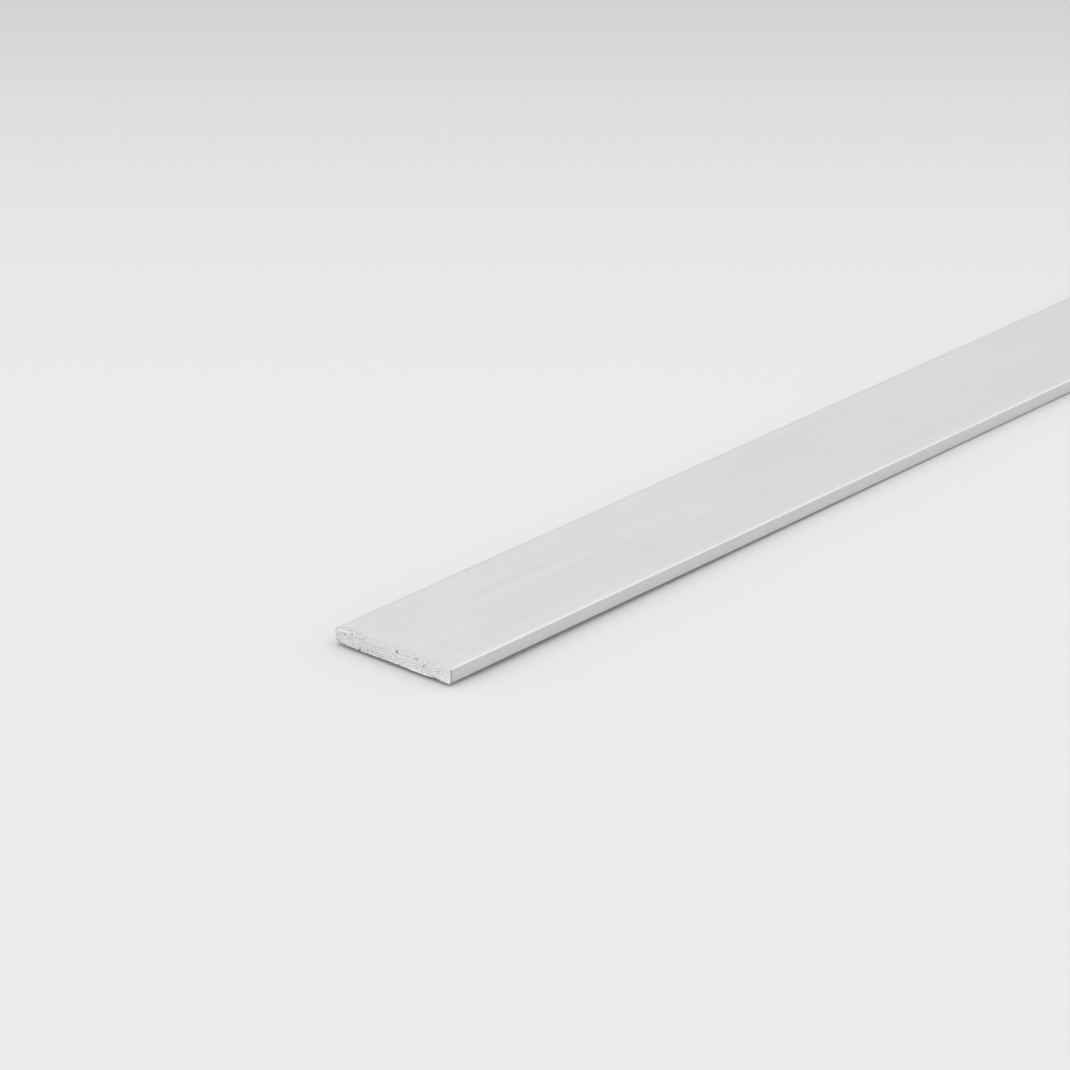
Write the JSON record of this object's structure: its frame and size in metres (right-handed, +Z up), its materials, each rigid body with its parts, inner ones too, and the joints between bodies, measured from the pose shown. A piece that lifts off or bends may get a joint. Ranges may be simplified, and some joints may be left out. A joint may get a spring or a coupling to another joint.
{
  "type": "aluminium flat bar",
  "caption": "Straight flat bar of extruded aluminium, slim rectangular section with rounded long edges, cut square at both ends.",
  "frame": {"origin": "centre of the underside, halfway along the bar and across its width", "axes": "+X along the bar, +Y across its width, +Z up through its thickness to the top face"},
  "size_m": [1, 0.02, 0.002],
  "materials": {
    "mill_aluminium": "satin"
  },
  "bodies": {
    "root": {"flat_bar": "mill_aluminium"}
  },
  "joints": []
}
